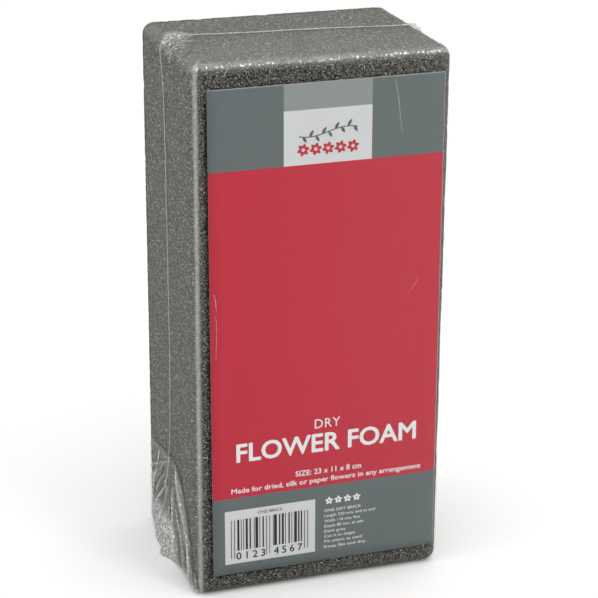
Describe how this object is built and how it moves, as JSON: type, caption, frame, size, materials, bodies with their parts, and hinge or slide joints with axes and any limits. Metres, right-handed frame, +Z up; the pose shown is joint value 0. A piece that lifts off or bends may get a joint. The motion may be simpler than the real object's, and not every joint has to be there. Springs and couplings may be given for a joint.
{
  "type": "floral foam brick",
  "caption": "Upright brick of dry floral foam, shrink-wrapped in clear film over a printed card label, for pushing dried or silk flower stems into.",
  "frame": {"origin": "the middle of the wrap's bottom face, on which the brick stands", "axes": "+Z up along the brick's length, -Y out of the labelled front, +X to the right as the label is read"},
  "size_m": [0.1153, 0.0808, 0.2321],
  "materials": {
    "foam": "matte, fine open cells",
    "card": "satin print",
    "film": "gloss, clear",
    "pleated_film": "gloss, clear, creased"
  },
  "bodies": {
    "root": {"foam_block": "foam", "label_card": "card", "film_front_web": "film", "film_back_web": "film", "seam_weld": "pleated_film", "gather_bottom_left": "pleated_film", "gather_bottom_right": "pleated_film", "gather_top_left": "pleated_film", "ear_top_right": "pleated_film"}
  },
  "joints": []
}
